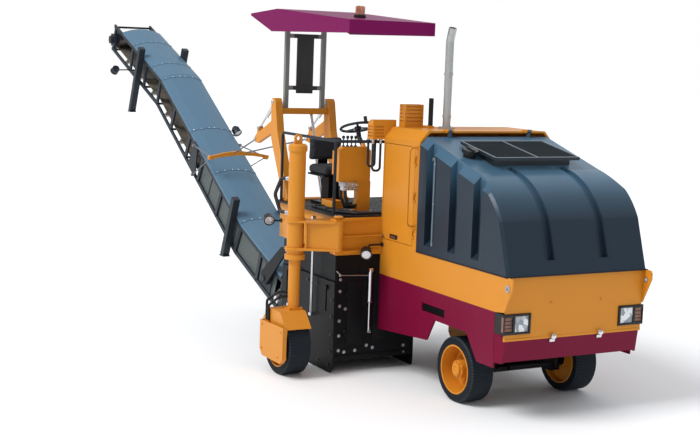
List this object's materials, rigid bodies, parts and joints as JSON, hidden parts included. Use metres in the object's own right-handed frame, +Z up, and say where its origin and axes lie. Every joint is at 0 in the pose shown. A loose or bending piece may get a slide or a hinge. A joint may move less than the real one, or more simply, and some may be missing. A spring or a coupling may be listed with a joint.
{
  "type": "cold planer",
  "caption": "Wheeled cold planer: steered solid-rubber wheels, swing-out rear wheel column, milling drum in its box, canopy over the operator and a folding-in discharge conveyor.",
  "frame": {"origin": "on the ground, below the middle of the bounding box", "axes": "+X forward, away from the discharge conveyor; +Y to the left; +Z up"},
  "size_m": [10.6024, 2.89, 3.9446],
  "materials": {
    "orange_paint": "satin",
    "maroon_paint": "satin",
    "purple_paint": "satin",
    "hood_black": "satin",
    "black_paint": "satin",
    "conveyor_blue": "matte",
    "rubber_tyre": "matte",
    "belt_rubber": "matte",
    "bare_steel": "satin",
    "grey_steel": "matte",
    "pick_steel": "matte",
    "engine_iron": "matte",
    "seat_cloth": "matte",
    "clear_lens": "gloss",
    "amber_lens": "gloss",
    "beacon_amber": "gloss",
    "black_plastic": "satin",
    "infill_grey": "matte"
  },
  "bodies": {
    "machine": {"chassis": "black_paint", "engine_block": "engine_iron", "ballast": "black_paint", "skirts": "maroon_paint", "side_bands": "orange_paint", "front_plate": "orange_paint", "bumper": "maroon_paint", "headlamp_housings": "black_plastic", "headlamp_lenses": "clear_lens", "indicators": "amber_lens", "rear_housing": "orange_paint", "exhaust": "grey_steel", "rear_frame": "orange_paint", "column_left": "orange_paint", "platform": "black_paint", "drum_box": "black_paint", "seat_base": "black_plastic", "seat_cushions": "seat_cloth", "console": "orange_paint", "handrail": "black_paint", "mast": "orange_paint", "canopy_posts": "grey_steel", "canopy": "purple_paint", "beacon": "beacon_amber", "front_axle": "black_paint", "hydraulic_hoses": "belt_rubber", "lift_cylinders": "bare_steel", "work_lamps": "black_plastic"},
    "hood": {"hood": "hood_black", "grille": "hood_black", "filler_cap": "black_plastic"},
    "side_door": {"side_door": "orange_paint"},
    "knuckle_right": {"knuckle_right": "black_paint"},
    "knuckle_left": {"knuckle_left": "black_paint"},
    "wheel_front_right": {"tyre_front_right": "rubber_tyre", "rim_front_right": "orange_paint"},
    "wheel_front_left": {"tyre_front_left": "rubber_tyre", "rim_front_left": "orange_paint"},
    "wheel_rear_right": {"tyre_rear_right": "rubber_tyre", "rim_rear_right": "orange_paint"},
    "wheel_rear_left": {"tyre_rear_left": "rubber_tyre", "rim_rear_left": "orange_paint"},
    "swing_arm": {"swing_arm": "orange_paint"},
    "column_right": {"column_right": "orange_paint", "column_hose": "belt_rubber"},
    "leg_right": {"wheel_leg_right": "orange_paint"},
    "leg_left": {"wheel_leg_left": "orange_paint"},
    "drum": {"milling_drum": "pick_steel"},
    "side_plate_right": {"side_plate_right": "black_paint", "side_plate_rods": "bare_steel"},
    "side_plate_left": {"side_plate_left": "black_paint"},
    "scraper": {"scraper": "black_paint"},
    "steering_wheel": {"steering_wheel": "black_plastic"},
    "cradle": {"conveyor_cradle": "black_paint"},
    "conveyor": {"conveyor_frame": "black_paint", "conveyor_cover": "conveyor_blue", "conveyor_belt": "belt_rubber", "conveyor_pulleys": "bare_steel", "conveyor_stays": "orange_paint", "conveyor_infill": "infill_grey"}
  },
  "joints": [
    {"name": "steer_right", "type": "hinge", "parent": "machine", "child": "knuckle_right", "pos_m": [4.29323, 0.119, 0.33], "axis": [0, 0, 1], "range_deg": [-32, 32]},
    {"name": "steer_left", "type": "hinge", "parent": "machine", "child": "knuckle_left", "pos_m": [4.29323, 1.091, 0.33], "axis": [0, 0, 1], "range_deg": [-32, 32]},
    {"name": "spin_front_right", "type": "hinge", "parent": "knuckle_right", "child": "wheel_front_right", "pos_m": [4.29323, -0.041, 0.33], "axis": [0, 1, 0], "continuous": true},
    {"name": "spin_front_left", "type": "hinge", "parent": "knuckle_left", "child": "wheel_front_left", "pos_m": [4.29323, 1.251, 0.33], "axis": [0, 1, 0], "continuous": true},
    {"name": "swing_arm_swing", "type": "hinge", "parent": "machine", "child": "swing_arm", "pos_m": [2.89323, -0.795, 1.505], "axis": [0, 0, 1], "range_deg": [0, 150]},
    {"name": "column_turn", "type": "hinge", "parent": "swing_arm", "child": "column_right", "pos_m": [2.64323, -1.175, 1.505], "axis": [0, 0, 1], "range_deg": [-150, 0]},
    {"name": "leg_right_lift", "type": "slide", "parent": "column_right", "child": "leg_right", "axis": [0, 0, 1], "range_m": [-0.06, 0.3]},
    {"name": "leg_left_lift", "type": "slide", "parent": "machine", "child": "leg_left", "axis": [0, 0, 1], "range_m": [-0.06, 0.3]},
    {"name": "spin_rear_right", "type": "hinge", "parent": "leg_right", "child": "wheel_rear_right", "pos_m": [2.64323, -1.235, 0.33], "axis": [0, 1, 0], "continuous": true},
    {"name": "spin_rear_left", "type": "hinge", "parent": "leg_left", "child": "wheel_rear_left", "pos_m": [2.64323, 1.191, 0.33], "axis": [0, 1, 0], "continuous": true},
    {"name": "drum_spin", "type": "hinge", "parent": "machine", "child": "drum", "pos_m": [2.19323, -0.285, 0.47], "axis": [0, 1, 0], "continuous": true},
    {"name": "side_plate_right_lift", "type": "slide", "parent": "machine", "child": "side_plate_right", "axis": [0, 0, 1], "range_m": [0, 0.25]},
    {"name": "side_plate_left_lift", "type": "slide", "parent": "machine", "child": "side_plate_left", "axis": [0, 0, 1], "range_m": [0, 0.25]},
    {"name": "scraper_lift", "type": "slide", "parent": "machine", "child": "scraper", "axis": [0, 0, 1], "range_m": [0, 0.18]},
    {"name": "hood_open", "type": "hinge", "parent": "machine", "child": "hood", "pos_m": [3.59123, 0.605, 2.672], "axis": [0, -1, 0], "range_deg": [0, 50]},
    {"name": "door_open", "type": "hinge", "parent": "machine", "child": "side_door", "pos_m": [3.49323, -0.247, 1.98], "axis": [0, 0, 1], "range_deg": [0, 90]},
    {"name": "steering_wheel_turn", "type": "hinge", "parent": "machine", "child": "steering_wheel", "pos_m": [2.36323, -0.31, 2.63], "axis": [-0.3304, 0, 0.9439], "continuous": true},
    {"name": "conveyor_slew", "type": "hinge", "parent": "machine", "child": "cradle", "pos_m": [1.39323, -0.345, 1.2], "axis": [0, 0, 1], "range_deg": [-20, 20]},
    {"name": "conveyor_luff", "type": "hinge", "parent": "cradle", "child": "conveyor", "pos_m": [0.80323, -0.345, 0.69], "axis": [0, 1, 0], "range_deg": [-14, 0]}
  ],
  "couplings": [
    {"joint": "steer_left", "follows": "steer_right", "ratio": 1},
    {"joint": "column_turn", "follows": "swing_arm_swing", "ratio": -1}
  ]
}
